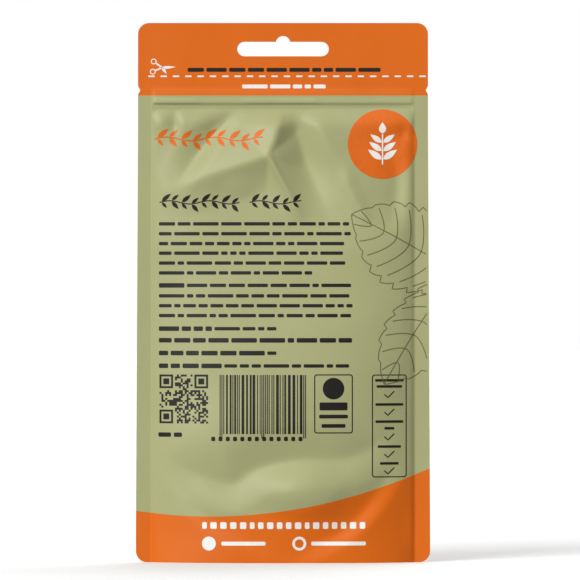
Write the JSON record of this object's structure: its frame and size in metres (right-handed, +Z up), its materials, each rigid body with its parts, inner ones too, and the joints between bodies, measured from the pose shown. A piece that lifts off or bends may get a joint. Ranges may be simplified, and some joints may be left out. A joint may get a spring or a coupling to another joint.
{
  "type": "stand-up zip pouch",
  "caption": "Filled printed film pouch standing on its opened bottom gusset, with a hang slot, tear notches and a press-to-close zip.",
  "frame": {"origin": "on the surface that the pouch stands on, in the middle of its foot", "axes": "+Z up the pouch to its header, +Y through it from the printed back panel to the front panel, +X across it"},
  "size_m": [0.1014, 0.026, 0.186],
  "materials": {
    "back_print": "satin printed film, muted green with orange header and foot band",
    "front_print": "satin printed film, muted green with orange header and foot band",
    "gusset_film": "satin printed film, orange",
    "zip_plastic": "clear natural polyethylene",
    "dried_leaf": "dry crumbled leaf"
  },
  "bodies": {
    "root": {"back_panel": "back_print", "front_panel": "front_print", "bottom_gusset": "gusset_film", "zip_rib_strip": "zip_plastic", "zip_groove_strip": "zip_plastic", "dried_leaves": "dried_leaf"}
  },
  "joints": []
}
